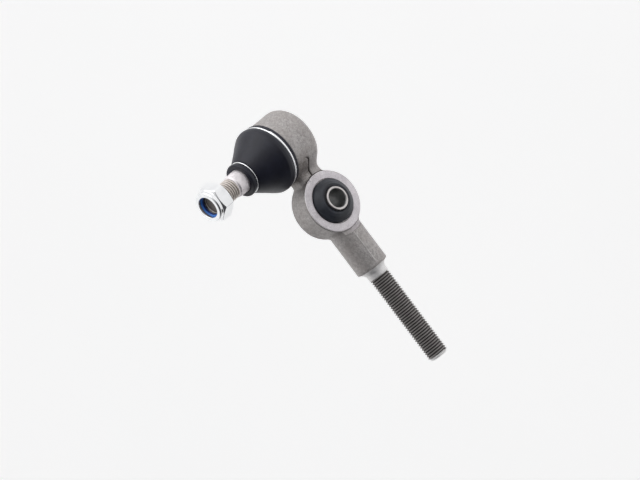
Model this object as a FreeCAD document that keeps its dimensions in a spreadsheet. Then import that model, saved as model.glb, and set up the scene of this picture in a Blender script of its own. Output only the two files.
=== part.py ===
"""Tie rod end: a forged arm with a ball joint, a rubber bush in its eye and a threaded spindle.

Frame: the origin is where the spindle axis crosses the bush axis. +X runs along the spindle to its
threaded end, +Y along the bush axis, and +Z along the ball stud, from the ball to the nut.
All lengths are in millimetres.
"""
import FreeCAD, Part
import os

import Sketcher

DIMENSIONS = [
    ("ball_offset", 40.0, "ball centre from the bush axis"),
    ("ball_radius", 11.0, "ball"),
    ("ball_flat", 9.0, "flat under the ball, below its centre"),
    ("seat_gap", 0.04, "running gap between ball and seats"),
    ("turn_gap", 0.05, "running gap between the seats and the housing"),
    ("housing_radius", 19.0, "housing wall"),
    ("housing_top", 9.5, "shoulder under the boot"),
    ("housing_bottom", 11.0, "rolled edge, below the ball centre"),
    ("housing_round", 6.0, "rounded lower corner of the housing"),
    ("rim_break", 0.5, "edge of the housing's shoulder"),
    ("collar_radius", 16.2, "collar inside the boot"),
    ("collar_top", 12.6, "top of the collar"),
    ("mouth_radius", 13.7, "flared mouth of the housing"),
    ("lip_radius", 10.1, "lip that keeps the ball in"),
    ("lip_low", 5.9, "underside of the lip"),
    ("lip_high", 7.0, "where the lip starts to flare"),
    ("cavity_radius", 12.7, "cavity round the seats"),
    ("cavity_shoulder", 2.2, "where the cavity starts to close in"),
    ("cover_shoulder", 8.6, "step that the cover rests on"),
    ("cover_radius", 13.75, "closing cover"),
    ("cover_thick", 1.3, "closing cover sheet"),
    ("cover_dish", 2.7, "how far the cover is dished out"),
    ("dish_flat", 6.0, "flat middle of the dish, inside"),
    ("dish_back", 7.0, "flat middle of the dish, outside"),
    ("dish_inner", 11.0, "foot of the dish's wall, inside"),
    ("dish_mouth", 11.3, "opening of the dish"),
    ("dish_round", 0.9, "height of the dish's inner bevel"),
    ("dish_outer", 12.2, "foot of the dish's wall, outside"),
    ("dish_wall", 1.6, "height of the dish's straight outer wall"),
    ("rolled_radius", 12.7, "edge rolled over the cover"),
    ("rolled_gap", 0.2, "gap between the rolled edge and the dish"),
    ("seat_top", 5.15, "top of the upper seat"),
    ("seat_bottom", 9.4, "bottom of the lower seat"),
    ("seat_skirt", 10.4, "lower seat where it meets the spring"),
    ("seat_depth", 3.0, "how far the seats' blanks reach into the ball's room"),
    ("skirt_taper", 2.4, "where the lower seat starts to narrow, above the cover's step"),
    ("skirt_gap", 0.2, "where it has narrowed, above the cover's step"),
    ("spring_bore", 5.0, "disc spring, inner radius"),
    ("spring_thick", 0.6, "disc spring"),
    ("spring_rise", 1.2, "disc spring, height of its cone"),
    ("spring_inset", 0.4, "disc spring, inside the edge of the lower seat"),
    ("neck_radius", 5.8, "stud neck above the ball"),
    ("neck_top", 14.6, "where the neck flares into the taper"),
    ("neck_flare", 1.2, "fillet between neck and ball"),
    ("taper_low", 22.0, "large end of the taper"),
    ("taper_high", 43.0, "small end of the taper"),
    ("taper_radius", 6.55, "taper at its small end"),
    ("taper_slope", 0.0625, "taper of one in eight on the diameter"),
    ("taper_break", 0.8, "short cone between taper and thread"),
    ("stud_end", 60.5, "end of the stud"),
    ("stud_chamfer", 0.9, "chamfer on the stud's end"),
    ("thread_radius", 6.0, "M12 crest"),
    ("thread_root", 0.88, "depth of the thread"),
    ("thread_pitch", 1.5, "M12 fine pitch"),
    ("thread_flat", 0.1, "half the width of the thread's flat root"),
    ("thread_start", 44.2, "first thread on the stud"),
    ("thread_gap", 0.12, "axial gap between nut and stud threads"),
    ("groove_over", 0.2, "how far a thread's groove is cut past its crest"),
    ("nut_low", 54.0, "face of the nut towards the ball"),
    ("nut_flats", 19.0, "nut across flats"),
    ("nut_hex", 8.5, "height of the hexagon"),
    ("nut_chamfer", 3.2, "how far out the hexagon's corners are chamfered"),
    ("nut_break", 0.2, "how far the chamfers reach into the flats"),
    ("nut_height", 10.9, "nut with its collar"),
    ("nut_collar", 9.1, "collar over the insert"),
    ("collar_root", 2.0, "how far the collar is sunk into the hexagon"),
    ("collar_side", 1.4, "top of the collar's straight side, below its rim"),
    ("collar_in", 0.4, "first bevel of the collar, inwards"),
    ("collar_down", 0.5, "first bevel, below the rim"),
    ("collar_edge", 1.2, "second bevel of the collar, inwards"),
    ("nut_mouth", 6.5, "opening that the collar is turned in to"),
    ("mouth_break", 0.2, "edge of the opening, outwards"),
    ("mouth_drop", 0.4, "edge of the opening, downwards"),
    ("nut_bore", 5.35, "minor radius of the nut's thread"),
    ("nut_sink", 0.4, "countersink, outside the thread"),
    ("sink_depth", 1.0, "countersink"),
    ("nut_root", 0.15, "room in the nut outside the stud's crest"),
    ("nut_turns", 5.0, "whole turns up the stud where the nut's groove starts, so the threads mesh"),
    ("thread_runout", 0.6, "how far the nut's groove runs into the insert's room"),
    ("insert_radius", 7.6, "nylon insert"),
    ("insert_bore", 5.6, "hole in the nylon insert"),
    ("insert_low", 7.5, "insert above the nut's lower face"),
    ("insert_thick", 1.8, "nylon insert"),
    ("eye_radius", 17.9, "eye of the arm"),
    ("eye_half", 7.35, "half the length of the eye"),
    ("eye_chamfer", 0.4, "edge of the eye's faces"),
    ("ledge_radius", 20.2, "where the cutter that faced the eye also cut shank and neck"),
    ("ledge_level", 6.7, "height of that cut above the middle of the eye"),
    ("ledge_reach", 20.0, "how far out that cutter reaches"),
    ("bush_radius", 12.9, "bore of the eye"),
    ("outer_wall", 1.1, "outer sleeve of the bush"),
    ("outer_half", 6.6, "half the length of the outer sleeve"),
    ("sleeve_radius", 6.75, "inner sleeve of the bush"),
    ("sleeve_bore", 5.25, "bolt hole"),
    ("sleeve_half", 12.6, "half the length of the inner sleeve"),
    ("sleeve_break", 0.3, "edges of the inner sleeve"),
    ("twist_gap", 0.03, "running gap between rubber and inner sleeve"),
    ("rubber_lip", 12.65, "rubber where it stands out of the eye"),
    ("rubber_crown", 9.6, "shoulder of the rubber's dome"),
    ("rubber_half", 11.4, "half the length of the rubber"),
    ("dome_foot", 1.2, "height of the rubber's straight side"),
    ("dome_edge", 1.2, "bevel at the crown, along the axis"),
    ("dome_out", 0.9, "bevel at the crown, outwards"),
    ("crown_in", 0.6, "bevel at the crown, inwards"),
    ("recess_out", 1.4, "recess round the inner sleeve, outwards"),
    ("recess_deep", 1.1, "recess round the inner sleeve"),
    ("arm_half_width", 6.6, "neck of the arm along the bush axis"),
    ("arm_half_height", 8.3, "neck of the arm along the stud axis"),
    ("arm_round", 2.6, "bevelled edges of the neck"),
    ("root_reach", 13.0, "neck's section in the housing, from the ball centre"),
    ("waist_reach", 19.5, "neck's narrowest section, from the ball centre"),
    ("foot_depth", 4.0, "neck's section in the eye, below its rim"),
    ("root_swell", 2.6, "how much wider the neck is in the housing"),
    ("foot_swell", 0.6, "how much wider it is in the eye"),
    ("root_rise", 0.3, "how much higher the neck is in the housing"),
    ("foot_rise", 1.5, "how much higher it is in the eye"),
    ("shank_radius", 9.6, "forged shank"),
    ("shank_root", 11.9, "where the shank starts inside the eye"),
    ("shank_end", 42.6, "end of the forged shank"),
    ("shank_break", 0.6, "edge of the shank's end"),
    ("step_length", 0.9, "step behind the shank"),
    ("step_height", 1.3, "step behind the shank, above the relief"),
    ("relief_start", 45.0, "foot of the shoulder"),
    ("relief_radius", 6.15, "plain part before the thread"),
    ("relief_end", 48.4, "start of the spindle thread"),
    ("relief_lead", 0.3, "short cone up to the thread's crest"),
    ("spindle_end", 103.6, "end of the spindle"),
    ("spindle_chamfer", 1.2, "chamfer on the spindle's end"),
    ("flash_height", 0.3, "flash left where the forging dies met"),
    ("flash_half", 0.35, "half the thickness of the flash"),
    ("flash_start", 16.0, "where the flash on the shank starts"),
    ("flash_stop", 1.0, "where it stops, before the shank's end"),
    ("flash_level", 2.6, "flash on the shank, above the bush axis"),
    ("boot_foot", 9.7, "foot of the boot"),
    ("boot_bead", 19.6, "bead between the housing and the large ring"),
    ("boot_wall", 1.6, "boot"),
    ("boot_edge", 0.3, "edge breaks of the boot"),
    ("ring_room", 0.1, "room beside the rings' wires"),
    ("boot_shoulder", 20.1, "widest place of the boot"),
    ("shoulder_height", 14.9, "widest place of the boot"),
    ("bulge_in", 0.2, "first step from the shoulder to the cone, inwards"),
    ("bulge_up", 1.4, "first step, upwards"),
    ("slope_in", 0.8, "second step from the shoulder to the cone, inwards"),
    ("slope_up", 2.6, "second step, upwards"),
    ("boot_bend", 18.1, "boot where the shoulder turns into the cone"),
    ("bend_height", 19.4, "boot where the shoulder turns into the cone"),
    ("cone_slope", 0.61, "how much the cone narrows for each millimetre of height"),
    ("cone_gap", 0.9, "end of the cone, below the small ring"),
    ("boot_flange", 10.0, "flange above the small ring"),
    ("flange_foot", 0.5, "underside of the flange, above the small ring"),
    ("flange_edge", 0.5, "upper edge of the flange, inwards"),
    ("flange_round", 0.9, "upper edge of the flange, downwards"),
    ("boot_top", 36.8, "top of the boot"),
    ("lip_foot", 2.6, "lip on the taper, how far below the small ring"),
    ("web_in", 0.2, "inside of the boot under its lip, inwards"),
    ("web_drop", 3.6, "inside of the boot, below the cone's end"),
    ("bend_drop", 0.5, "inside of the bend, below the outside"),
    ("foot_up", 0.9, "inside of the foot, above the large ring"),
    ("lap_in", 1.2, "boot's edge over the collar, inwards"),
    ("lap_thick", 0.5, "boot's edge over the collar"),
    ("large_ring_height", 12.2, "large boot ring"),
    ("large_ring_radius", 18.85, "large boot ring, to the wire's centre"),
    ("large_wire", 0.8, "radius of the large ring's wire"),
    ("small_ring_height", 33.3, "small boot ring"),
    ("small_ring_radius", 9.45, "small boot ring, to the wire's centre"),
    ("small_wire", 0.5, "radius of the small ring's wire"),
    ("touch_gap", 0.05, "gap between parts of different bodies that nearly touch"),
    ("cut_over", 1.0, "how far a cutter starts outside the metal"),
]

THREAD_TURN = "0.57735"  # tangent of 30 degrees, half the thread's angle

document = FreeCAD.newDocument("TieRodEnd")
sheet = document.addObject("Spreadsheet::Sheet", "Dims")


def fill_sheet():
    """Write the driving dimensions, each with its meaning beside it."""
    for row, (alias, number, meaning) in enumerate(DIMENSIONS, start=1):
        sheet.set(f"A{row}", meaning)
        sheet.set(f"B{row}", str(number))
        sheet.setAlias(f"B{row}", alias)
    document.recompute()


def expression(words):
    """Turn words such as "ball_radius + 1" into an expression over the sheet."""
    names = sorted((alias for alias, _, _ in DIMENSIONS), key=len, reverse=True)
    for place, alias in enumerate(names):
        words = words.replace(alias, f"#{place}#")
    for place, alias in enumerate(names):
        words = words.replace(f"#{place}#", f"Dims.{alias}")
    return words


def value(words):
    """The number that the words come to."""
    return float(sheet.evalExpression(expression(words)))


def new_body(node, on_stud_axis=False):
    """A body that becomes one node; its own frame is at the ball centre if it lies on the stud axis."""
    body = document.addObject("PartDesign::Body", node)
    body.Label = node
    if on_stud_axis:
        body.setExpression("Placement.Base.x", expression("-ball_offset"))
    return body


def attach(body, item, role):
    """Lay a sketch or a primitive on one of its body's origin planes."""
    plane = next(one for one in body.Origin.OriginFeatures if one.Role == role)
    item.AttachmentSupport = (plane, [""])
    item.MapMode = "FlatFace"


def outline(body, name, role, corners, shift=None):
    """A closed outline of straight lines on an origin plane; each corner is two expressions."""
    sketch = body.newObject("Sketcher::SketchObject", name)
    attach(body, sketch, role)
    if shift:
        axis, words = shift
        sketch.setExpression(f"AttachmentOffset.Base.{axis}", expression(words))
    spots = [FreeCAD.Vector(value(across), value(up), 0) for across, up in corners]
    count = len(spots)
    for here, spot in enumerate(spots):
        sketch.addGeometry(Part.LineSegment(spot, spots[(here + 1) % count]), False)
    for here in range(count):
        sketch.addConstraint(Sketcher.Constraint("Coincident", here, 2, (here + 1) % count, 1))
    for here, words in enumerate(corners):
        for kind, word in zip(("DistanceX", "DistanceY"), words):
            number = value(word)
            if abs(number) < 1e-9:
                on_axis = -2 if kind == "DistanceX" else -1
                sketch.addConstraint(Sketcher.Constraint("PointOnObject", here, 1, on_axis))
                continue
            place = sketch.addConstraint(Sketcher.Constraint(kind, -1, 1, here, 1, number))
            sketch.setExpression(f"Constraints[{place}]", expression(word))
    return sketch


def feature(body, kind, name, sketch, **settings):
    """A feature on a sketch, with its settings."""
    made = body.newObject(f"PartDesign::{kind}", name)
    made.Profile = sketch
    for setting, content in settings.items():
        setattr(made, setting, content)
    return made


def turned(body, name, role, axis, corners, shift=None):
    """Add the outline turned about one of its sketch's axes."""
    sketch = outline(body, f"{name}Outline", role, corners, shift)
    return feature(body, "Revolution", name, sketch, ReferenceAxis=(sketch, [axis]), Angle=360)


def grooved(body, name, role, axis, corners, shift=None):
    """Cut the outline turned about one of its sketch's axes, and see that it really cuts."""
    document.recompute()
    before = body.Shape.Volume
    sketch = outline(body, f"{name}Outline", role, corners, shift)
    cut = feature(body, "Groove", name, sketch, ReferenceAxis=(sketch, [axis]), Angle=360)
    document.recompute()
    if not body.Shape.Volume < before:
        raise RuntimeError(f"{name} cuts nothing")
    return cut


def thread_cut(body, name, role, axis, corners, length):
    """Cut a helical groove along a sketch axis, and see that it really cuts."""
    document.recompute()
    before = body.Shape.Volume
    sketch = outline(body, f"{name}Outline", role, corners)
    cut = feature(body, "SubtractiveHelix", name, sketch, ReferenceAxis=(sketch, [axis]))
    cut.Mode = "pitch-height-angle"
    cut.setExpression("Pitch", expression("thread_pitch"))
    cut.setExpression("Height", expression(length))
    document.recompute()
    if not body.Shape.Volume < before:
        raise RuntimeError(f"{name} cuts nothing")
    return cut


def rounded(body, name, chosen, words):
    """Fillet the edges of the body so far that the test picks."""
    document.recompute()
    base = body.Tip
    edges = [f"Edge{place}" for place, edge in enumerate(base.Shape.Edges, start=1) if chosen(edge)]
    if not edges:
        raise RuntimeError(f"{name} finds no edge")
    fillet = body.newObject("PartDesign::Fillet", name)
    fillet.Base = (base, edges)
    fillet.setExpression("Radius", expression(words))
    document.recompute()
    return fillet


def on_circle(edge, radius, height, axis):
    """True for a full circle of this radius, square to the axis, at this height along it."""
    if edge.Degenerated or not isinstance(edge.Curve, Part.Circle):
        return False
    curve = edge.Curve
    level = curve.Center.dot(axis)
    square = abs(abs(curve.Axis.dot(axis)) - 1) < 1e-6
    return square and abs(curve.Radius - radius) < 1e-3 and abs(level - height) < 1e-3


ALONG_X = FreeCAD.Vector(1, 0, 0)
ALONG_Y = FreeCAD.Vector(0, 1, 0)
ALONG_Z = FreeCAD.Vector(0, 0, 1)


# --- the forging -------------------------------------------------------------------------------

def forged_body():
    """Housing, neck, eye, shank and spindle: one forging, machined and threaded."""
    body = new_body("forged_body")
    at_ball = ("x", "-ball_offset")
    turned(body, "Housing", "XZ_Plane", "V_Axis", [
        ("0", "-housing_bottom"),
        ("housing_radius", "-housing_bottom"),
        ("housing_radius", "housing_top - rim_break"),
        ("housing_radius - rim_break", "housing_top"),
        ("collar_radius", "housing_top"),
        ("collar_radius", "collar_top"),
        ("0", "collar_top"),
    ], at_ball)
    rounded(body, "HousingCorner", lambda edge: on_circle(
        edge, value("housing_radius"), value("-housing_bottom"), ALONG_Z), "housing_round")
    neck(body)
    turned(body, "Eye", "YZ_Plane", "H_Axis", [
        ("-eye_half", "0"),
        ("-eye_half", "eye_radius - eye_chamfer"),
        ("-eye_half + eye_chamfer", "eye_radius"),
        ("eye_half - eye_chamfer", "eye_radius"),
        ("eye_half", "eye_radius - eye_chamfer"),
        ("eye_half", "0"),
    ])
    turned(body, "Shank", "XZ_Plane", "H_Axis", [
        ("shank_root", "0"),
        ("shank_root", "shank_radius"),
        ("shank_end - shank_break", "shank_radius"),
        ("shank_end", "shank_radius - shank_break"),
        ("shank_end + step_length", "relief_radius + step_height"),
        ("relief_start", "relief_radius"),
        ("relief_end - relief_lead", "relief_radius"),
        ("relief_end", "thread_radius"),
        ("spindle_end - spindle_chamfer", "thread_radius"),
        ("spindle_end", "thread_radius - spindle_chamfer"),
        ("spindle_end", "0"),
    ])
    flash(body)
    grooved(body, "BallCavity", "XZ_Plane", "V_Axis", [
        ("0", "collar_top + cut_over"),
        ("mouth_radius", "collar_top + cut_over"),
        ("mouth_radius", "collar_top"),
        ("lip_radius", "lip_high"),
        ("lip_radius", "lip_low"),
        ("cavity_radius", "cavity_shoulder"),
        ("cavity_radius", "-cover_shoulder"),
        ("cover_radius", "-cover_shoulder"),
        ("cover_radius", "-cover_shoulder - cover_thick"),
        ("rolled_radius", "-cover_shoulder - cover_thick"),
        ("rolled_radius", "-housing_bottom - cut_over"),
        ("0", "-housing_bottom - cut_over"),
    ], at_ball)
    one_side = [
        ("eye_half", "bush_radius"),
        ("eye_half", "eye_radius"),
        ("ledge_level", "eye_radius"),
        ("ledge_level", "ledge_radius"),
        ("eye_half + ledge_reach", "ledge_radius"),
        ("eye_half + ledge_reach", "0"),
    ]
    other_side = [(f"-({along})", out) for along, out in reversed(one_side)]
    grooved(body, "EyeBoreAndFaces", "YZ_Plane", "H_Axis", one_side + other_side)
    thread_cut(body, "SpindleThread", "XZ_Plane", "H_Axis",
               groove_corners("relief_end", along_axis_first=True), "spindle_end - relief_end")
    return body


def neck(body):
    """The short bar between housing and eye: it narrows to a waist and swells into both."""
    sizes = [
        ("Root", "root_reach - ball_offset", "root_swell", "root_rise"),
        ("Waist", "waist_reach - ball_offset", "0", "0"),
        ("Foot", "foot_depth - eye_radius", "foot_swell", "foot_rise"),
    ]
    sections = []
    for name, along, swell, rise in sizes:
        wide = f"(arm_half_width + {swell})"
        high = f"(arm_half_height + {rise})"
        sections.append(outline(body, f"Neck{name}", "YZ_Plane", [
            (f"-({wide})", f"-({high}) + arm_round"),
            (f"-({wide}) + arm_round", f"-({high})"),
            (f"{wide} - arm_round", f"-({high})"),
            (wide, f"-({high}) + arm_round"),
            (wide, f"{high} - arm_round"),
            (f"{wide} - arm_round", high),
            (f"-({wide}) + arm_round", high),
            (f"-({wide})", f"{high} - arm_round"),
        ], ("z", along)))
    feature(body, "AdditiveLoft", "Neck", sections[0], Sections=sections[1:], Ruled=False)


def flash(body):
    """The thin ridge that the forging dies leave on both sides of shank and neck."""
    reach = "(sqrt(shank_radius ^ 2 - flash_level ^ 2) + flash_height)"
    long_side = [
        ("flash_start", f"-{reach}"),
        ("shank_end - flash_stop", f"-{reach}"),
        ("shank_end - flash_stop", reach),
        ("flash_start", reach),
    ]
    short_side = [
        ("-ball_offset + root_reach", "-arm_half_width - flash_height"),
        ("-eye_radius + foot_depth", "-arm_half_width - flash_height"),
        ("-eye_radius + foot_depth", "arm_half_width + flash_height"),
        ("-ball_offset + root_reach", "arm_half_width + flash_height"),
    ]
    for name, corners, level in (("ShankFlash", long_side, "flash_level"), ("NeckFlash", short_side, "0")):
        sketch = outline(body, f"{name}Outline", "XY_Plane", corners, ("z", level))
        pad = feature(body, "Pad", name, sketch, Midplane=True)
        pad.setExpression("Length", expression("2 * flash_half"))


def groove_corners(start, along_axis_first):
    """Corners of one thread groove, cut from just outside the crest down to the flat root."""
    outside = "thread_radius + groove_over"
    root = "thread_radius - thread_root"
    half_mouth = f"(thread_flat + (thread_root + groove_over) * {THREAD_TURN})"
    corners = [
        (outside, f"{start} - {half_mouth}"),
        (root, f"{start} - thread_flat"),
        (root, f"{start} + thread_flat"),
        (outside, f"{start} + {half_mouth}"),
    ]
    if along_axis_first:
        return [(along, out) for out, along in corners]
    return corners


# --- the ball joint ----------------------------------------------------------------------------

def ball_stud():
    """Ball, neck, taper and thread in one piece."""
    body = new_body("ball_stud", on_stud_axis=True)
    ball = body.newObject("PartDesign::AdditiveSphere", "Ball")
    ball.setExpression("Radius", expression("ball_radius"))
    turned(body, "Stud", "XZ_Plane", "V_Axis", [
        ("0", "0"),
        ("neck_radius", "0"),
        ("neck_radius", "neck_top"),
        ("taper_radius + (taper_high - taper_low) * taper_slope", "taper_low"),
        ("taper_radius", "taper_high"),
        ("thread_radius", "taper_high + taper_break"),
        ("thread_radius", "stud_end - stud_chamfer"),
        ("thread_radius - stud_chamfer", "stud_end"),
        ("0", "stud_end"),
    ])
    rounded(body, "NeckRound", lambda edge: on_circle(
        edge, value("neck_radius"), (value("ball_radius") ** 2 - value("neck_radius") ** 2) ** 0.5, ALONG_Z),
        "neck_flare")
    grooved(body, "BallFlat", "XZ_Plane", "V_Axis", [
        ("0", "-ball_flat"),
        ("ball_radius", "-ball_flat"),
        ("ball_radius", "-ball_radius - cut_over"),
        ("0", "-ball_radius - cut_over"),
    ])
    thread_cut(body, "StudThread", "XZ_Plane", "V_Axis",
               groove_corners("thread_start + thread_pitch / 2", along_axis_first=False),
               "stud_end - thread_start")
    return body


def ball_hollow(body):
    """Cut the ball's room, with its running gap, out of a seat."""
    hollow = body.newObject("PartDesign::SubtractiveSphere", "BallRoom")
    hollow.setExpression("Radius", expression("ball_radius + seat_gap"))


def upper_seat():
    """Plastic bearing ring above the ball's equator."""
    body = new_body("seat_upper", on_stud_axis=True)
    cone = "(cavity_radius - lip_radius) / (lip_low - cavity_shoulder)"
    turned(body, "Ring", "XZ_Plane", "V_Axis", [
        ("ball_radius - seat_depth", "touch_gap"),
        ("cavity_radius - turn_gap", "touch_gap"),
        ("cavity_radius - turn_gap", "cavity_shoulder - turn_gap"),
        (f"cavity_radius - turn_gap - (seat_top - cavity_shoulder + turn_gap) * {cone}", "seat_top"),
        ("ball_radius - seat_depth", "seat_top"),
    ])
    ball_hollow(body)
    return body


def lower_seat():
    """Plastic bearing cup below the ball's equator, open at the bottom for grease."""
    body = new_body("seat_lower", on_stud_axis=True)
    turned(body, "Cup", "XZ_Plane", "V_Axis", [
        ("seat_skirt - seat_depth", "-touch_gap"),
        ("cavity_radius - turn_gap", "-touch_gap"),
        ("cavity_radius - turn_gap", "-cover_shoulder + skirt_taper"),
        ("seat_skirt", "-cover_shoulder + skirt_gap"),
        ("seat_skirt", "-seat_bottom"),
        ("seat_skirt - seat_depth", "-seat_bottom"),
    ])
    ball_hollow(body)
    return body


def preload_spring():
    """Conical disc spring that presses the lower seat against the ball."""
    body = new_body("preload_spring", on_stud_axis=True)
    top = "-seat_bottom - touch_gap"
    turned(body, "Disc", "XZ_Plane", "V_Axis", [
        ("spring_bore", f"{top} - spring_rise - spring_thick"),
        ("seat_skirt - spring_inset", f"{top} - spring_thick"),
        ("seat_skirt - spring_inset", top),
        ("spring_bore", f"{top} - spring_rise"),
    ])
    return body


def cover_plate():
    """Dished steel cover that closes the housing, held by its rolled edge."""
    body = new_body("cover_plate", on_stud_axis=True)
    step = "-cover_shoulder"
    turned(body, "Cover", "XZ_Plane", "V_Axis", [
        ("0", f"{step} - cover_dish"),
        ("dish_flat", f"{step} - cover_dish"),
        ("dish_inner", f"{step} - cover_dish + dish_round"),
        ("dish_mouth", step),
        ("cover_radius", step),
        ("cover_radius", f"{step} - cover_thick"),
        ("rolled_radius - rolled_gap", f"{step} - cover_thick"),
        ("dish_outer", f"{step} - cover_thick - dish_wall"),
        ("dish_back", f"{step} - cover_thick - cover_dish"),
        ("0", f"{step} - cover_thick - cover_dish"),
    ])
    return body


# --- the boot and its rings --------------------------------------------------------------------

def dust_boot():
    """Rubber bellows from the housing's collar to the stud's taper."""
    body = new_body("dust_boot", on_stud_axis=True)
    groove = "large_ring_radius - large_wire - touch_gap"
    waist = "small_ring_radius - small_wire - touch_gap"
    lip = "taper_radius + (taper_high - small_ring_height + lip_foot) * taper_slope + touch_gap"
    cone_top = "(small_ring_height - small_wire - cone_gap)"
    cone_end = f"(boot_bend - ({cone_top} - bend_height) * cone_slope)"
    turned(body, "Boot", "XZ_Plane", "V_Axis", [
        ("collar_radius + touch_gap", "boot_foot"),
        ("boot_bead - boot_edge", "boot_foot"),
        ("boot_bead", "boot_foot + boot_edge"),
        ("boot_bead", "large_ring_height - large_wire - boot_edge"),
        (groove, "large_ring_height - large_wire - ring_room"),
        (groove, "large_ring_height + large_wire + ring_room"),
        ("boot_shoulder - boot_edge", "large_ring_height + large_wire + boot_edge"),
        ("boot_shoulder", "shoulder_height"),
        ("boot_shoulder - bulge_in", "shoulder_height + bulge_up"),
        ("boot_shoulder - slope_in", "shoulder_height + slope_up"),
        ("boot_bend", "bend_height"),
        (cone_end, cone_top),
        (waist, "small_ring_height - small_wire - ring_room"),
        (waist, "small_ring_height + small_wire + ring_room"),
        ("boot_flange - boot_edge", "small_ring_height + small_wire + flange_foot"),
        ("boot_flange", "boot_top - flange_round"),
        ("boot_flange - flange_edge", "boot_top"),
        (lip, "boot_top"),
        (lip, "small_ring_height - lip_foot"),
        (f"{cone_end} - web_in", f"{cone_top} - web_drop"),
        ("boot_bend - boot_wall", "bend_height - bend_drop"),
        ("boot_shoulder - boot_wall - boot_edge", "shoulder_height + bulge_up"),
        ("boot_bead - boot_wall", "large_ring_height + large_wire + foot_up"),
        ("collar_radius - lap_in", "collar_top + lap_thick"),
        ("collar_radius - lap_in", "collar_top + touch_gap"),
        ("collar_radius + touch_gap", "collar_top + touch_gap"),
    ])
    return body


def boot_ring(node, ring, height, wire):
    """Round wire ring that clamps one end of the boot."""
    body = new_body(node, on_stud_axis=True)
    wound = body.newObject("PartDesign::AdditiveTorus", "Wire")
    attach(body, wound, "XY_Plane")
    wound.setExpression("Radius1", expression(ring))
    wound.setExpression("Radius2", expression(wire))
    wound.setExpression("AttachmentOffset.Base.z", expression(height))
    return body


# --- the nut -----------------------------------------------------------------------------------

def lock_nut():
    """Hexagon nut with a collar turned in over its nylon insert, and a real thread."""
    body = new_body("lock_nut", on_stud_axis=True)
    reach = "nut_flats / 2 / cos(30)"
    corners = [(f"{reach} * cos({60 * side})", f"{reach} * sin({60 * side})") for side in range(6)]
    flats = outline(body, "FlatsOutline", "XY_Plane", corners, ("z", "nut_low"))
    hexagon = feature(body, "Pad", "Hexagon", flats)
    hexagon.setExpression("Length", expression("nut_hex"))
    for name, level, inwards in (("LowChamfer", "nut_low", 1), ("HighChamfer", "nut_low + nut_hex", -1)):
        grooved(body, name, "XZ_Plane", "V_Axis", [
            ("nut_flats / 2 - nut_break", level),
            ("nut_flats / 2 - nut_break + nut_chamfer", level),
            ("nut_flats / 2 - nut_break + nut_chamfer", f"{level} + {inwards} * nut_chamfer * {THREAD_TURN}"),
        ])
    turned(body, "Collar", "XZ_Plane", "V_Axis", [
        ("insert_bore", "nut_low + nut_hex - collar_root"),
        ("nut_collar", "nut_low + nut_hex - collar_root"),
        ("nut_collar", "nut_low + nut_height - collar_side"),
        ("nut_collar - collar_in", "nut_low + nut_height - collar_down"),
        ("nut_collar - collar_edge", "nut_low + nut_height"),
        ("nut_mouth + mouth_break", "nut_low + nut_height"),
        ("nut_mouth", "nut_low + nut_height - mouth_drop"),
        ("insert_bore", "nut_low + nut_height - mouth_drop"),
    ])
    grooved(body, "Bore", "XZ_Plane", "V_Axis", [
        ("0", "nut_low - cut_over"),
        ("thread_radius + nut_sink + cut_over", "nut_low - cut_over"),
        ("thread_radius + nut_sink", "nut_low"),
        ("nut_bore", "nut_low + sink_depth"),
        ("nut_bore", "nut_low + insert_low"),
        ("insert_radius", "nut_low + insert_low"),
        ("insert_radius", "nut_low + insert_low + insert_thick"),
        ("nut_mouth", "nut_low + insert_low + insert_thick"),
        ("nut_mouth", "nut_low + nut_height + cut_over"),
        ("0", "nut_low + nut_height + cut_over"),
    ])
    ridge = f"(thread_pitch / 2 - thread_flat - thread_root * {THREAD_TURN})"
    start = "(thread_start + nut_turns * thread_pitch)"
    inner = "nut_bore - groove_over"
    half_mouth = f"({ridge} + (thread_radius - nut_bore + groove_over) * {THREAD_TURN} + thread_gap)"
    half_root = f"({ridge} + thread_gap - touch_gap)"
    thread_cut(body, "NutThread", "XZ_Plane", "V_Axis", [
        (inner, f"{start} - {half_mouth}"),
        ("thread_radius + nut_root", f"{start} - {half_root}"),
        ("thread_radius + nut_root", f"{start} + {half_root}"),
        (inner, f"{start} + {half_mouth}"),
    ], f"nut_low + insert_low + thread_runout - {start}")
    return body


def nut_insert():
    """Nylon locking ring in the nut's collar."""
    body = new_body("nut_insert", on_stud_axis=True)
    turned(body, "Ring", "XZ_Plane", "V_Axis", [
        ("insert_bore", "nut_low + insert_low + twist_gap"),
        ("insert_radius - twist_gap", "nut_low + insert_low + twist_gap"),
        ("insert_radius - twist_gap", "nut_low + insert_low + insert_thick - twist_gap"),
        ("insert_bore", "nut_low + insert_low + insert_thick - twist_gap"),
    ])
    return body


# --- the bush ----------------------------------------------------------------------------------

def bush_outer_sleeve():
    """Thin steel sleeve pressed into the eye."""
    body = new_body("bush_outer_sleeve")
    turned(body, "Sleeve", "YZ_Plane", "H_Axis", [
        ("-outer_half", "bush_radius - outer_wall"),
        ("-outer_half", "bush_radius"),
        ("outer_half", "bush_radius"),
        ("outer_half", "bush_radius - outer_wall"),
    ])
    return body


def bush_rubber():
    """Rubber between the sleeves, standing out of the eye as a dome on each side."""
    body = new_body("bush_rubber")
    inner = "sleeve_radius + twist_gap"
    one_side = [
        ("outer_half", "bush_radius - outer_wall"),
        ("outer_half", "rubber_lip"),
        ("eye_half + dome_foot", "rubber_lip"),
        ("rubber_half - dome_edge", "rubber_crown + dome_out"),
        ("rubber_half", "rubber_crown - crown_in"),
        ("rubber_half", "sleeve_radius + recess_out"),
        ("rubber_half - recess_deep", inner),
    ]
    other_side = [(f"-({along})", out) for along, out in reversed(one_side)]
    turned(body, "Rubber", "YZ_Plane", "H_Axis", one_side + other_side)
    return body


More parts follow.
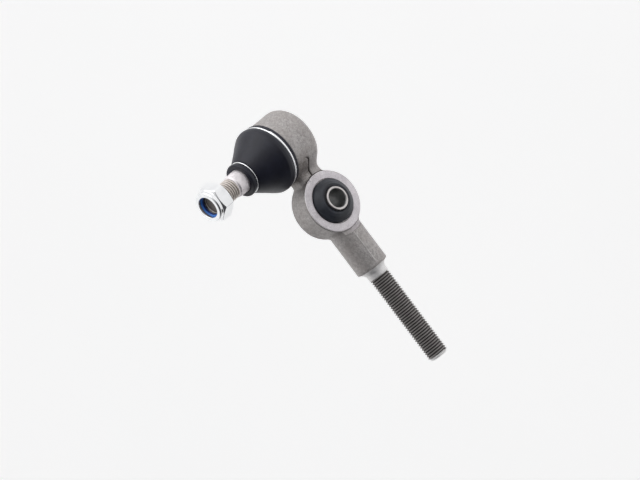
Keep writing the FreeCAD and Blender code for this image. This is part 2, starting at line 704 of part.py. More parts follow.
def bush_inner_sleeve():
    """Steel sleeve that the bolt goes through."""
    body = new_body("bush_inner_sleeve")
    turned(body, "Sleeve", "YZ_Plane", "H_Axis", [
        ("-sleeve_half", "sleeve_bore"),
        ("-sleeve_half", "sleeve_radius - sleeve_break"),
        ("-sleeve_half + sleeve_break", "sleeve_radius"),
        ("sleeve_half - sleeve_break", "sleeve_radius"),
        ("sleeve_half", "sleeve_radius - sleeve_break"),
        ("sleeve_half", "sleeve_bore"),
    ])
    return body


def check_and_write(bodies):
    """Stop if anything failed to rebuild, then write one STEP file for each node."""
    document.recompute()
    for item in document.Objects:
        if "Invalid" in item.State or "Error" in item.State:
            raise RuntimeError(f"{item.Label} failed: {item.State}")
    os.makedirs("parts", exist_ok=True)
    for body in bodies:
        shape = body.Shape
        if shape.isNull() or not shape.isValid() or len(shape.Solids) != 1:
            raise RuntimeError(f"{body.Label} is not one valid solid")
        shape.exportStep(f"parts/{body.Label}.step")
        box = shape.optimalBoundingBox(False, False)
        print(f"{body.Label}: {shape.Volume:.0f} mm3, x {box.XMin:.1f}..{box.XMax:.1f}, "
              f"y {box.YMin:.1f}..{box.YMax:.1f}, z {box.ZMin:.1f}..{box.ZMax:.1f}")


fill_sheet()
check_and_write([
    forged_body(),
    ball_stud(),
    upper_seat(),
    lower_seat(),
    preload_spring(),
    cover_plate(),
    dust_boot(),
    boot_ring("boot_ring_large", "large_ring_radius", "large_ring_height", "large_wire"),
    boot_ring("boot_ring_small", "small_ring_radius", "small_ring_height", "small_wire"),
    lock_nut(),
    nut_insert(),
    bush_outer_sleeve(),
    bush_rubber(),
    bush_inner_sleeve(),
])
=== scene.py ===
"""Tie rod end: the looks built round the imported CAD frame.

Lengths in the shape functions are millimetres in the CAD frame; objects are made in metres.
+X runs along the spindle, +Y along the bush axis, +Z along the ball stud.
"""
import math

import bmesh
import bpy
import numpy as np
from mathutils import Matrix, Vector


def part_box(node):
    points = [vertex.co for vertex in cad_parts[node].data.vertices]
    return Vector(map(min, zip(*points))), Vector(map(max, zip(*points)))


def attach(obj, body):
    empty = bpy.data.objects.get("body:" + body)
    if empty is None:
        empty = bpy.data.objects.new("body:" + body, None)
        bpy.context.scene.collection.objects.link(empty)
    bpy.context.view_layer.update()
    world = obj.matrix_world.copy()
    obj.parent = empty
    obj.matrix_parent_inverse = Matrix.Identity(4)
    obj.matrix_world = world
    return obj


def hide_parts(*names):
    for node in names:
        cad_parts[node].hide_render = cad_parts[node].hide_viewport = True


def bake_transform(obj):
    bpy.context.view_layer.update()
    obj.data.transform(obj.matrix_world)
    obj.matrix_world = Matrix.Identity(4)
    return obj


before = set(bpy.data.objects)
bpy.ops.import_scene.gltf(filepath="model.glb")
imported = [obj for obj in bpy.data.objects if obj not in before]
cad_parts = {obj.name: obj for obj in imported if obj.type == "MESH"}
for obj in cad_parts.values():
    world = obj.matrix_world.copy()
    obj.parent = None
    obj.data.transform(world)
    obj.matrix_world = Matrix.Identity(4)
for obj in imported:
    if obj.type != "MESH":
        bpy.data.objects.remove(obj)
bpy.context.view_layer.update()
MM = 0.001


# --- sizes read from the frame, in millimetres ---------------------------------------------------

def corners_mm(node):
    """Lowest and highest corner of a CAD node, in millimetres."""
    low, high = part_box(node)
    return low / MM, high / MM


ARM_LOW, ARM_HIGH = corners_mm("forged_body")
STUD_HIGH = corners_mm("ball_stud")[1]
BOOT_LOW, BOOT_HIGH = corners_mm("dust_boot")
NUT_LOW, NUT_HIGH = corners_mm("lock_nut")
LARGE_LOW, LARGE_HIGH = corners_mm("boot_ring_large")
SMALL_LOW, SMALL_HIGH = corners_mm("boot_ring_small")
SLEEVE_HIGH = corners_mm("bush_inner_sleeve")[1]
RUBBER_HIGH = corners_mm("bush_rubber")[1]
INSERT_LOW, INSERT_HIGH = corners_mm("nut_insert")

STUD_X = (SMALL_LOW.x + SMALL_HIGH.x) / 2
SPINDLE_END = ARM_HIGH.x
HOUSING_R = STUD_X - ARM_LOW.x
EYE_R = ARM_HIGH.z
SLEEVE_R = SLEEVE_HIGH.z
SLEEVE_HALF = SLEEVE_HIGH.y
RUBBER_HALF = RUBBER_HIGH.y


# --- sizes of the CAD that no box shows, in millimetres ------------------------------------------

THREAD_R = 6.0
THREAD_DEPTH = 0.88
PITCH = 1.5
EYE_HALF = 7.35
BUSH_R = 12.9
SHANK_R = 9.6
SHANK_END = 42.6
RELIEF_R = 6.15
RELIEF_END = 48.4
HOUSING_TOP = 9.5
HOUSING_BOTTOM = -11.0
COLLAR_R = 16.2
COLLAR_TOP = 12.6
BALL_R, BALL_FLAT, BALL_NECK = 11.0, 9.0, 5.8
TAPER_R = 6.55
TAPER_END = 43.0
TAPER_RATIO = 16
STUD_THREAD_START = 44.3
HEX_HEIGHT = 8.5


# --- details of the visual model, in millimetres -------------------------------------------------

# The eye's machined boss, the bevel round its face, and the ledge and groove cut beside it.
BOSS_R = EYE_R - 0.25
EDGE_BREAK = 0.28
LEDGE, LEDGE_R = 6.7, 20.2
GROOVE_WIDE, GROOVE_DEEP = 0.44, 0.2

# Height of the flash along the shank, and where the parting line starts and ends along the neck.
FLASH_Z = 2.6
LINE_START, LINE_END = -28.6, -17.5

# Bevels on the ends of the two threads, and how many turns of wire each ring has.
SPINDLE_BEVEL, STUD_BEVEL = 1.6, 0.9
RING_TURNS = 1.32

# Room between pieces that lie against each other, and the sine of 45 degrees for the cones.
GAP = 0.05
DIAGONAL = 0.707

# Grid steps of the surfaces made from distance functions.
ARM_STEP, ARM_QUICK_STEP, NUT_STEP = 0.33, 0.6, 0.17

# The forging's looks, numbered in the order that they are painted.
FORGED_FACE, THREAD_FACE, TURNED_FACE, RELIEF_FACE = range(4)
# The last of these looks is near-black: painted shade for the groove of the parting line and the groove
# round the boss.
EDGE_FACE, LEDGE_FACE, FLASH_FACE, CRACK_SHADE_FACE = range(4, 8)

# In metres: points that count as one, edges that count as none, and points that lie on a plane.
WELD, SLIVER, ON_PLANE = 1e-7, 1e-8, 1e-6


# --- mesh tools ----------------------------------------------------------------------------------

def new_object(name, mesh):
    """Link a mesh to the scene as an object at the origin."""
    made = bpy.data.objects.new(name, mesh)
    bpy.context.scene.collection.objects.link(made)
    return made


def mesh_object(name, points, faces):
    """An object from points in millimetres and their faces."""
    mesh = bpy.data.meshes.new(name)
    mesh.from_pydata((np.asarray(points) * MM).tolist(), [], [list(map(int, face)) for face in faces])
    mesh.validate()
    mesh.update()
    return new_object(name, mesh)


def smooth(piece, degrees=32):
    """Smooth shading, with edges sharper than this angle kept sharp."""
    mesh = piece.data
    mesh.shade_smooth()
    edit = bmesh.new()
    edit.from_mesh(mesh)
    limit = math.radians(degrees)
    for edge in edit.edges:
        edge.smooth = len(edge.link_faces) == 2 and edge.calc_face_angle(0) < limit
    edit.to_mesh(mesh)
    edit.free()
    return piece


def face_outwards(piece):
    """Make every face of a closed mesh point outwards."""
    edit = bmesh.new()
    edit.from_mesh(piece.data)
    bmesh.ops.recalc_face_normals(edit, faces=edit.faces)
    if edit.calc_volume(signed=True) < 0:
        bmesh.ops.reverse_faces(edit, faces=edit.faces)
    edit.to_mesh(piece.data)
    edit.free()
    return piece


def rounded_outline(corners, arc_steps=5):
    """Points of an outline whose corners (across, up, radius) are rounded by arcs."""
    points = []
    count = len(corners)
    for place, (across, up, radius) in enumerate(corners):
        here = np.array((across, up), float)
        if radius <= 0:
            points.append(here)
            continue
        before = np.array(corners[place - 1][:2], float) - here
        after = np.array(corners[(place + 1) % count][:2], float) - here
        length_before, length_after = np.linalg.norm(before), np.linalg.norm(after)
        before, after = before / length_before, after / length_after
        half = math.acos(np.clip(before @ after, -1, 1)) / 2
        reach = min(radius / math.tan(half), 0.48 * length_before, 0.48 * length_after)
        radius = reach * math.tan(half)
        middle = here + (before + after) / np.linalg.norm(before + after) * (radius / math.sin(half))
        start, end = here + before * reach - middle, here + after * reach - middle
        first = math.atan2(start[1], start[0])
        turn = (math.atan2(end[1], end[0]) - first + math.pi) % (2 * math.pi) - math.pi
        for step in range(arc_steps + 1):
            angle = first + turn * step / arc_steps
            points.append(middle + radius * np.array((math.cos(angle), math.sin(angle))))
    return points


AXES = {
    "z": lambda across, up, cosine, sine: (STUD_X + across * cosine, across * sine, up),
    "x": lambda across, up, cosine, sine: (up, across * cosine, across * sine),
    "y": lambda across, up, cosine, sine: (across * sine, up, across * cosine),
}


def lathe(name, corners, axis, segments=144, arc_steps=5):
    """A closed ring turned about an axis from an outline of (radius, along, corner radius)."""
    outline = rounded_outline(corners, arc_steps)
    place = AXES[axis]
    rows = len(outline)
    points, faces = [], []
    for segment in range(segments):
        angle = 2 * math.pi * segment / segments
        for across, up in outline:
            points.append(place(max(across, 0.0), up, math.cos(angle), math.sin(angle)))
        following = (segment + 1) % segments
        for row in range(rows):
            nxt = (row + 1) % rows
            faces.append((segment * rows + row, segment * rows + nxt,
                          following * rows + nxt, following * rows + row))
    piece = mesh_object(name, points, faces)
    edit = bmesh.new()
    edit.from_mesh(piece.data)
    bmesh.ops.remove_doubles(edit, verts=edit.verts, dist=WELD)
    bmesh.ops.dissolve_degenerate(edit, edges=edit.edges, dist=SLIVER)
    edit.to_mesh(piece.data)
    edit.free()
    return smooth(face_outwards(piece))


def surface_net(name, distance, low, high, step):
    """The surface where a distance function of (x, y, z) arrays is zero, as a quad mesh."""
    axes = [np.arange(a, b + step, step) for a, b in zip(low, high)]
    x, y, z = np.meshgrid(*axes, indexing="ij", sparse=True)
    field = np.broadcast_to(distance(x, y, z), [len(a) for a in axes]).astype(np.float32)
    inside = field < 0
    cells = [n - 1 for n in field.shape]
    total = np.zeros((*cells, 3), np.float32)
    hits = np.zeros(cells, np.float32)
    for axis in range(3):
        others = [other for other in range(3) if other != axis]
        for side_a in (0, 1):
            for side_b in (0, 1):
                near, far = [None] * 3, [None] * 3
                for other, side in zip(others, (side_a, side_b)):
                    near[other] = far[other] = slice(side, side + cells[other])
                near[axis], far[axis] = slice(0, cells[axis]), slice(1, cells[axis] + 1)
                one, two = field[tuple(near)], field[tuple(far)]
                crossed = inside[tuple(near)] != inside[tuple(far)]
                share = np.where(crossed, one / np.where(crossed, one - two, 1), 0)
                hits += crossed
                total[..., axis] += share
                total[..., others[0]] += crossed * side_a
                total[..., others[1]] += crossed * side_b
    active = hits > 0
    number = np.full(cells, -1, np.int64)
    number[active] = np.arange(active.sum())
    corner = np.stack(np.nonzero(active), axis=1)
    points = (corner + total[active] / hits[active][:, None]) * step + np.array(low)
    quads = []
    for axis in range(3):
        one = [slice(None)] * 3
        two = [slice(None)] * 3
        one[axis], two[axis] = slice(0, -1), slice(1, None)
        start, end = inside[tuple(one)], inside[tuple(two)]
        where = np.stack(np.nonzero(start != end), axis=1)
        others = [(axis + 1) % 3, (axis + 2) % 3]
        room = [(where[:, other] > 0) & (where[:, other] < cells[other]) for other in others]
        room = np.all(room, axis=0)
        where = where[room]
        around = []
        for shift_a, shift_b in ((-1, -1), (0, -1), (0, 0), (-1, 0)):
            spot = where.copy()
            spot[:, others[0]] += shift_a
            spot[:, others[1]] += shift_b
            around.append(number[tuple(spot.T)])
        around = np.stack(around, axis=1)
        outward = start[tuple(where.T)]
        around[~outward] = around[~outward][:, ::-1]
        quads.append(around)
    quads = np.concatenate(quads)
    mesh = bpy.data.meshes.new(name)
    mesh.vertices.add(len(points))
    mesh.vertices.foreach_set("co", (points * MM).astype(np.float32).ravel())
    mesh.loops.add(quads.size)
    mesh.loops.foreach_set("vertex_index", quads.astype(np.int32).ravel())
    mesh.polygons.add(len(quads))
    mesh.polygons.foreach_set("loop_start", np.arange(0, quads.size, 4, dtype=np.int32))
    mesh.update(calc_edges=True)
    mesh.validate()
    return new_object(name, mesh)


def combine(base, tool, operation):
    """Union, difference or intersection of two closed meshes; the tool is used up."""
    change = base.modifiers.new(operation, "BOOLEAN")
    change.operation = operation
    change.solver = "EXACT"
    change.object = tool
    graph = bpy.context.evaluated_depsgraph_get()
    result = bpy.data.meshes.new_from_object(base.evaluated_get(graph))
    base.modifiers.clear()
    base.data = result
    bpy.data.objects.remove(tool)
    return base


def join(name, pieces):
    """Several meshes as one object; the faces of each piece take its number as their material."""
    edit = bmesh.new()
    for number, piece in enumerate(pieces):
        piece.data.polygons.foreach_set("material_index", [number] * len(piece.data.polygons))
        edit.from_mesh(piece.data)
    mesh = bpy.data.meshes.new(name)
    edit.to_mesh(mesh)
    edit.free()
    for piece in pieces:
        bpy.data.objects.remove(piece)
    return new_object(name, mesh)


# --- distance functions, in millimetres ----------------------------------------------------------

def blended(one, two, reach):
    """Union of two distances with a fillet of about this reach."""
    share = np.clip(0.5 + 0.5 * (two - one) / reach, 0, 1)
    return two + (one - two) * share - reach * share * (1 - share)


def rounded_slab(across, up, half_across, half_up, radius):
    """Distance to a rectangle with rounded corners."""
    right = np.abs(across) - half_across + radius
    top = np.abs(up) - half_up + radius
    outside = np.sqrt(np.maximum(right, 0) ** 2 + np.maximum(top, 0) ** 2)
    return outside + np.minimum(np.maximum(right, top), 0) - radius


def mirrored(side):
    """The other half of an outline that is the same on both sides of the bush's middle."""
    return [(out, -along, radius) for out, along, radius in reversed(side)]


# --- pieces --------------------------------------------------------------------------------------

def threaded(name, start, end, axis, chamfer):
    """A rod with a real helical thread between two places on its axis, chamfered at its far end."""
    # One pitch of the thread, as shares of the pitch and of the depth.
    profile = [(0.0, 0.0), (0.09, 0.0), (0.36, 0.72), (0.43, 0.97)]
    profile += [(0.5, 1.0), (0.57, 0.97), (0.64, 0.72), (0.91, 0.0)]
    per_turn = len(profile)
    around, spare_turns, core = 72, 2, 1.0
    rows = int((end - start) / PITCH + 2 * spare_turns) * per_turn
    place = AXES[axis]
    points, faces = [], []
    for row in range(rows):
        share, cut = profile[row % per_turn]
        for spoke in range(around):
            turn = spoke / around
            along = start + (row // per_turn + share - spare_turns + turn) * PITCH
            out = THREAD_R - THREAD_DEPTH * cut
            if along > end - chamfer:
                out = min(out, THREAD_R - chamfer + (end - along))
            angle = 2 * math.pi * turn
            points.append(place(max(out, core), along, math.cos(angle), math.sin(angle)))
    for row in range(rows - 1):
        for spoke in range(around):
            following, above = (spoke + 1, row) if spoke < around - 1 else (0, row + per_turn)
            if above + 1 >= rows:
                continue
            faces.append((row * around + spoke, above * around + following,
                          (above + 1) * around + following, (row + 1) * around + spoke))
    piece = mesh_object(name, points, faces)
    direction = Vector(place(0, 1, 1, 0)) - Vector(place(0, 0, 1, 0))
    edit = bmesh.new()
    edit.from_mesh(piece.data)
    for level, outer in ((start, False), (end, True)):
        spot = Vector(place(0, level, 1, 0)) * MM
        everything = edit.verts[:] + edit.edges[:] + edit.faces[:]
        bmesh.ops.bisect_plane(edit, geom=everything, dist=WELD, plane_co=spot, plane_no=direction,
                               clear_outer=outer, clear_inner=not outer)
        rim = [edge for edge in edit.edges if edge.is_boundary and
               all(abs((vert.co - spot).dot(direction)) < ON_PLANE for vert in edge.verts)]
        bmesh.ops.contextual_create(edit, geom=rim)
    edit.to_mesh(piece.data)
    edit.free()
    return smooth(face_outwards(piece), degrees=40)


def part_line(x):
    """Height of the forging's parting line along the neck, hooked where it runs out on the housing."""
    places = (LINE_START, -27.6, -27.0, -19.0)
    heights = (2.6, 1.2, 0.6, 0.0)
    return np.interp(x, places, heights)


def machined(spot):
    """Which of the forging's looks a face of its body has, from where the face's middle is."""
    # Each test reaches a little way past the cut that made its faces.
    near = 0.01
    crack_half, crack_front, behind_eye = 0.3, 4.0, -12.0
    flash_half, flash_start = 0.35, 18.0
    chamber_r = 13.9
    from_bush = math.hypot(spot.x, spot.z)
    from_stud = math.hypot(spot.x - STUD_X, spot.y)
    from_axis = math.hypot(spot.y, spot.z)
    side = abs(spot.y)
    if spot.x > SHANK_END + 0.2:
        return RELIEF_FACE
    on_bevel = EYE_HALF - EDGE_BREAK + near < side < EYE_HALF - near
    # The bevel round the boss takes the edge look, which carries a painted highlight.
    if BOSS_R - EDGE_BREAK - near < from_bush < BOSS_R + near and on_bevel:
        return EDGE_FACE
    on_shank = from_axis > SHANK_R + 0.04 and flash_start < spot.x < SHANK_END - 1
    if on_shank and abs(spot.z - FLASH_Z) < flash_half:
        return FLASH_FACE
    if from_bush < LEDGE_R + 0.1 and spot.x > 0 and LEDGE - GROOVE_DEEP < side < LEDGE + 0.05:
        return LEDGE_FACE
    # The groove round the boss on the neck side is painted near-black: painted shade in the groove.
    if EYE_R - 0.3 < from_bush < EYE_R + 0.3 and spot.x < behind_eye and side < LEDGE + 0.02:
        return CRACK_SHADE_FACE if side > LEDGE - GROOVE_DEEP - 0.05 else FORGED_FACE
    # The parting line along the neck is painted near-black: painted shade in its groove.
    on_neck = LINE_START < spot.x < LINE_END and spot.y > crack_front
    if on_neck and abs(spot.z - part_line(spot.x)) < crack_half:
        return CRACK_SHADE_FACE
    on_eye = from_bush < EYE_R - 0.1 and EYE_HALF - 0.35 < side < EYE_HALF + 0.1
    in_eye = from_bush < BUSH_R + 0.4
    inside = spot.z > HOUSING_TOP - 0.05 or from_stud < chamber_r
    in_housing = from_stud < COLLAR_R + 0.1 and inside
    return TURNED_FACE if on_eye or in_eye or in_housing else FORGED_FACE


def forged_skin(x, y, z):
    """Distance to the forging before it is machined, with its collar, its flash and its parting line."""
    middle, half = (HOUSING_TOP + HOUSING_BOTTOM) / 2, (HOUSING_TOP - HOUSING_BOTTOM) / 2
    foot_round, rim_round, collar_round = 6.0, 0.6, 0.4
    neck_left, neck_right, neck_waist, neck_flare = -36.0, -2.0, -20.0, 9.0
    neck_half_width, neck_half_height, neck_round = 6.7, 8.3, 3.4
    widening, heightening = 0.03, 0.012
    die_mismatch, mismatch_rise = 0.4, 0.3
    eye_half, eye_round, shank_round = 8.4, 1.0, 0.9
    relief_middle, relief_round = 35.0, 0.2
    shoulder_r, shoulder_length, shoulder_sunk = 8.3, 2.2, 0.6
    flash_middle, flash_half_length, flash_half_width, flash_height = 29.0, 12.4, 0.2, 0.22
    crack_r, crack_depth, crack_side = 0.42, 0.6, 6.0
    from_stud = np.hypot(x - STUD_X, y)
    from_axis = np.hypot(y, z)
    corner = np.where(z < middle, foot_round, rim_round)
    housing = rounded_slab(from_stud, z - middle, HOUSING_R, half, corner)
    swell = np.clip(np.abs(x - neck_waist), 0, neck_flare) ** 2
    mismatch = die_mismatch * np.clip((z - part_line(x)) / mismatch_rise, 0, 1)
    width = neck_half_width + widening * swell - mismatch
    bar = rounded_slab(y, z, width, neck_half_height + heightening * swell, neck_round)
    neck = np.maximum(bar, np.maximum(x - neck_right, neck_left - x))
    eye = rounded_slab(np.hypot(x, z), y, EYE_R - 0.02, eye_half, eye_round)
    shank = rounded_slab(x - SHANK_END / 2, from_axis, SHANK_END / 2, SHANK_R, shank_round)
    relief_half = RELIEF_END - relief_middle
    relief = rounded_slab(x - relief_middle, from_axis, relief_half, RELIEF_R, relief_round)
    shoulder = (from_axis - shoulder_r + (x - SHANK_END)) * DIAGONAL
    shoulder = np.maximum(shoulder, x - SHANK_END - shoulder_length)
    shoulder = np.maximum(shoulder, SHANK_END - shoulder_sunk - x)
    collar = rounded_slab(from_stud, z - COLLAR_TOP / 2, COLLAR_R, COLLAR_TOP / 2, collar_round)
    solid = blended(housing, neck, 3.0)
    solid = blended(solid, eye, 1.2)
    solid = blended(solid, shank, 1.3)
    solid = blended(solid, blended(relief, shoulder, 0.8), 0.5)
    along_shank = np.abs(x - flash_middle) - flash_half_length
    flash = np.maximum(along_shank, np.abs(z - FLASH_Z) - flash_half_width)
    solid = blended(solid, np.maximum(flash, solid - flash_height), 0.3)
    crack = np.hypot(z - part_line(x), np.maximum(crack_side - y, 0)) - crack_r
    crack = np.maximum(crack, np.maximum(LINE_START - x, x - LINE_END))
    crack = np.maximum(crack, -crack_depth - solid)
    return np.minimum(-blended(-solid, crack, 0.15), collar)


def eye_cutter():
    """What machining takes off the eye: its faces, the ledges and grooves beside them, and the bore."""
    outside, bore_break = 24.0, 0.3
    side = [
        (0, outside, 0), (LEDGE_R, outside, 0), (LEDGE_R, LEDGE, 0.3), (BOSS_R + GROOVE_WIDE, LEDGE, 0),
        (BOSS_R + GROOVE_WIDE / 2, LEDGE - GROOVE_DEEP, 0), (BOSS_R, LEDGE, 0),
        (BOSS_R, EYE_HALF - EDGE_BREAK, 0), (BOSS_R - EDGE_BREAK, EYE_HALF, 0),
        (BUSH_R + bore_break, EYE_HALF, 0), (BUSH_R, EYE_HALF - bore_break, 0),
    ]
    return lathe("eye_cutter", side + mirrored(side), "y")


def cavity_cutter():
    """What is hollow in the housing: its mouth, the ball's chamber and the groove that holds the cover."""
    above, below = COLLAR_TOP + 9, HOUSING_BOTTOM - 3
    mouth, throat, chamber, cover = 13.7, 10.1, 12.7, 13.75
    throat_top, throat_foot, chamber_top = 7.0, 5.9, 2.2
    cover_top, cover_foot = -8.6, -9.9
    outline = [
        (0, above, 0), (mouth, above, 0), (mouth, COLLAR_TOP, 0.3), (throat, throat_top, 0.5),
        (throat, throat_foot, 0), (chamber, chamber_top, 0), (chamber, cover_top, 0), (cover, cover_top, 0),
        (cover, cover_foot, 0), (chamber, cover_foot, 0), (chamber, below, 0), (0, below, 0),
    ]
    return lathe("cavity_cutter", outline, "z")


def flash_nub():
    """The small nub of flash left at the edge of the eye's face."""
    foot, top = 6.6, EYE_HALF + 0.35
    wide, narrow = 0.75, 0.6
    spot = Vector((-16.5, 0, 3.9))
    outline = [(0, foot, 0), (wide, foot, 0), (narrow, top, 0.25), (0, top, 0)]
    nub = lathe("flash_nub", outline, "y", segments=14, arc_steps=3)
    nub.data.transform(Matrix.Translation(spot * MM))
    return nub


def forging():
    """Housing, neck, eye and shank with blended forged surfaces, the machined cuts and the spindle."""
    low = (ARM_LOW.x - 1, -HOUSING_R - 1, -EYE_R - 1)
    high = (RELIEF_END + 1, HOUSING_R + 1, EYE_R + 1)
    step = ARM_STEP
    body = face_outwards(surface_net("forged_arm", forged_skin, low, high, step))
    combine(body, eye_cutter(), "DIFFERENCE")
    combine(body, cavity_cutter(), "DIFFERENCE")
    thread = threaded("spindle_thread", RELIEF_END, SPINDLE_END, "x", SPINDLE_BEVEL)
    body = smooth(face_outwards(body), degrees=30)
    arm = join("forged_arm_detail", [body, thread, flash_nub()])
    body_number, thread_number = 0, 1
    for face in arm.data.polygons:
        if face.material_index == body_number:
            face.material_index = machined(face.center / MM)
        elif face.material_index == thread_number:
            on_bevel = face.center.x / MM > SPINDLE_END - SPINDLE_BEVEL
            face.material_index = RELIEF_FACE if on_bevel else THREAD_FACE
        # The flash nub takes the edge look with its painted highlight.
        else:
            face.material_index = EDGE_FACE
    return arm


def taper_at(level):
    """Radius of the stud's taper at this height."""
    return TAPER_R + (TAPER_END - level) / TAPER_RATIO


def stud_outline():
    """Ball, neck and taper, from the ball's flat to the thread, as (radius, along, corner radius)."""
    neck_end, taper_start, taper_break = 14.6, 22.0, 0.8
    first = math.acos(-BALL_FLAT / BALL_R)
    last = math.asin(BALL_NECK / BALL_R)
    steps = 40
    outline = [(0, -BALL_FLAT, 0)]
    for step in range(steps + 1):
        angle = first + (last - first) * step / steps
        outline.append((BALL_R * math.sin(angle), BALL_R * math.cos(angle), 0))
    outline += [(BALL_NECK, neck_end, 3), (taper_at(taper_start), taper_start, 3),
                (TAPER_R, TAPER_END, 0.2), (THREAD_R, TAPER_END + taper_break, 0.2),
                (THREAD_R, STUD_THREAD_START, 0), (0, STUD_THREAD_START, 0)]
    return outline


def ball_stud():
    """The stud: a lathe-turned ball and taper with a rolled thread on its end."""
    body = lathe("stud_body", stud_outline(), "z", segments=128)
    thread = threaded("stud_thread", STUD_THREAD_START, STUD_HIGH.z, "z", STUD_BEVEL)
    return join("ball_stud_detail", [body, thread])


def dust_boot():
    """Moulded rubber boot with a bead under the large ring and a flange above the small one."""
    wall = 1.6
    foot, top = BOOT_LOW.z, BOOT_HIGH.z
    ring_z, wire = (LARGE_LOW.z + LARGE_HIGH.z) / 2, (LARGE_HIGH.z - LARGE_LOW.z) / 2
    top_z, thin = (SMALL_LOW.z + SMALL_HIGH.z) / 2, (SMALL_HIGH.z - SMALL_LOW.z) / 2
    groove = LARGE_HIGH.x - STUD_X - 2 * wire + GAP
    waist = SMALL_HIGH.x - STUD_X - 2 * thin + GAP
    bead, flange, lip = 19.55, 10.05, COLLAR_R - 1.0
    shoulder_z, cone_slope = 19.4, 0.61
    cone_top = top_z - thin - 0.7
    cone_end = 18.1 - (cone_top - shoulder_z) * cone_slope
    # From the foot up, then back down the inside.
    outside = [
        (COLLAR_R + GAP, foot, 0.2), (bead, foot, 0.35), (bead, ring_z - wire - GAP, 0.35),
        (groove, ring_z - wire * 0.6, 0.4), (groove, ring_z + wire * 0.6, 0.4),
        (19.65, ring_z + wire + 0.15, 0.3), (20.05, 15.0, 3), (19.75, 16.7, 2.5), (18.2, shoulder_z, 3),
        (15.75, 23.2, 12), (13.4, 27.1, 12), (cone_end, cone_top, 0.4),
        (waist, top_z - thin * 0.8, 0.2), (waist, top_z + thin * 0.8, 0.2),
        (9.75, top_z + thin + 0.3, 0.3), (flange, top - 1.1, 1.0), (9.7, top, 0.6),
    ]
    inside = [
        (taper_at(top) + 0.5, top, 0.4), (taper_at(top - 0.6) + GAP, top - 0.6, 0),
        (taper_at(top_z - 2.6) + GAP, top_z - 2.6, 1), (cone_end - 0.2, top_z - 4.8, 2),
        (13.4 - wall, 26.2, 6), (15.7 - wall, 22.5, 6), (18.2 - wall, 18.8, 3),
        (19.9 - wall, 16.0, 2), (19.6 - wall, ring_z + wire + 0.9, 2),
        (lip, COLLAR_TOP + 0.6, 0.2), (lip, COLLAR_TOP + GAP, 0.2), (COLLAR_R + GAP, COLLAR_TOP + GAP, 0),
    ]
    return lathe("rubber_boot", outside + inside, "z", segments=160, arc_steps=6)


def wire_ring(name, low, high, start):
    """A spring-wire ring of more than one turn, whose two ends lie side by side where they overlap."""
    wire_share, rows, around = 0.36, 130, 14
    wire = (high.z - low.z) * wire_share
    reach = high.x - STUD_X - wire
    centre = (low.z + high.z) / 2
    lap = 1 - 1 / RING_TURNS
    points, faces = [], []
    for row in range(rows + 1):
        share = row / rows
        angle = math.radians(start) - 2 * math.pi * RING_TURNS * share
        lift = ((high.z - low.z) / 2 - wire) * (2 * min(max((share - lap) / (1 - 2 * lap), 0), 1) - 1)
        for spoke in range(around):
            lean = 2 * math.pi * spoke / around
            out = reach + wire * math.cos(lean)
            points.append((STUD_X + out * math.cos(angle), out * math.sin(angle),
                           centre + lift + wire * math.sin(lean)))
    for row in range(rows):
        for spoke in range(around):
            nxt = (spoke + 1) % around
            faces.append((row * around + spoke, row * around + nxt,
                          (row + 1) * around + nxt, (row + 1) * around + spoke))
    faces.append(tuple(range(around)))
    faces.append(tuple(reversed(range(rows * around, (rows + 1) * around))))
    return smooth(face_outwards(mesh_object(name, points, faces)), 50)


def lock_nut():
    """Hexagon nut with a turned-in collar, softened edges and an internal thread."""
    low, high = NUT_LOW.z, NUT_HIGH.z
    flats = NUT_HIGH.y
    hex_top = low + HEX_HEIGHT
    middle, half = (low + hex_top) / 2, (hex_top - low) / 2
    chamfer_in, chamfer_sine, chamfer_cosine = 0.55, 0.5, 0.866
    collar_r, collar_round, collar_sunk = 9.1, 1.05, 3.0
    mouth_r, crest_r, thread_depth, countersink_r = 6.35, 5.3, 0.75, 7.0
    edge_round = 0.3

    def distance(x, y, z):
        across, along = x - STUD_X, z
        out = np.hypot(across, y)
        flank = -1e3
        for side in range(3):
            angle = math.radians(30 + 60 * side)
            flank = np.maximum(flank, np.abs(across * math.cos(angle) + y * math.sin(angle)) - flats)
        slab = np.abs(along - middle) - half
        corner = (out - flats + chamfer_in) * chamfer_sine + slab * chamfer_cosine
        hexagon = -blended(-flank, -np.maximum(slab, corner), 0.35)
        collar_mid = (hex_top - collar_sunk + high) / 2
        collar_half = (high - hex_top + collar_sunk) / 2
        collar = rounded_slab(out, along - collar_mid, collar_r, collar_half, collar_round)
        solid = blended(hexagon, collar, edge_round)
        mouth = out - mouth_r
        room = rounded_slab(out, along - (INSERT_LOW.z + INSERT_HIGH.z) / 2, INSERT_HIGH.x - STUD_X + GAP,
                            (INSERT_HIGH.z - INSERT_LOW.z) / 2 + GAP, 0.1)
        turn = np.arctan2(y, across) / (2 * math.pi)
        wave = np.abs(((along / PITCH - turn) % 1) - 0.5) * 2
        thread = out - crest_r - thread_depth * np.clip(wave * 1.3 - 0.15, 0, 1)
        countersink = (out - countersink_r + (along - low)) * DIAGONAL
        bore = np.where(along > INSERT_LOW.z, mouth, np.minimum(thread, countersink))
        return -blended(-solid, np.minimum(bore, room), edge_round)

    reach = flats / math.cos(math.radians(30)) + 0.6
    nut = surface_net("lock_nut_detail", distance, (STUD_X - reach, -reach, low - 0.5),
                      (STUD_X + reach, reach, high + 0.5), NUT_STEP)
    # The faces inside the mouth below the insert take the nut's thread look, with its painted light and
    # shade.
    bore_faces(nut, mouth_r - 0.15, "z", INSERT_HIGH.z)
    return smooth(face_outwards(nut), degrees=38)


def bore_faces(piece, radius, axis, top=math.inf):
    """Give the faces inside this radius of the stud's or the bush's axis a piece's second look."""
    for face in piece.data.polygons:
        spot = face.center / MM
        out = math.hypot(spot.x - STUD_X, spot.y) if axis == "z" else math.hypot(spot.x, spot.z)
        face.material_index = 1 if out < radius and spot.z < top else 0


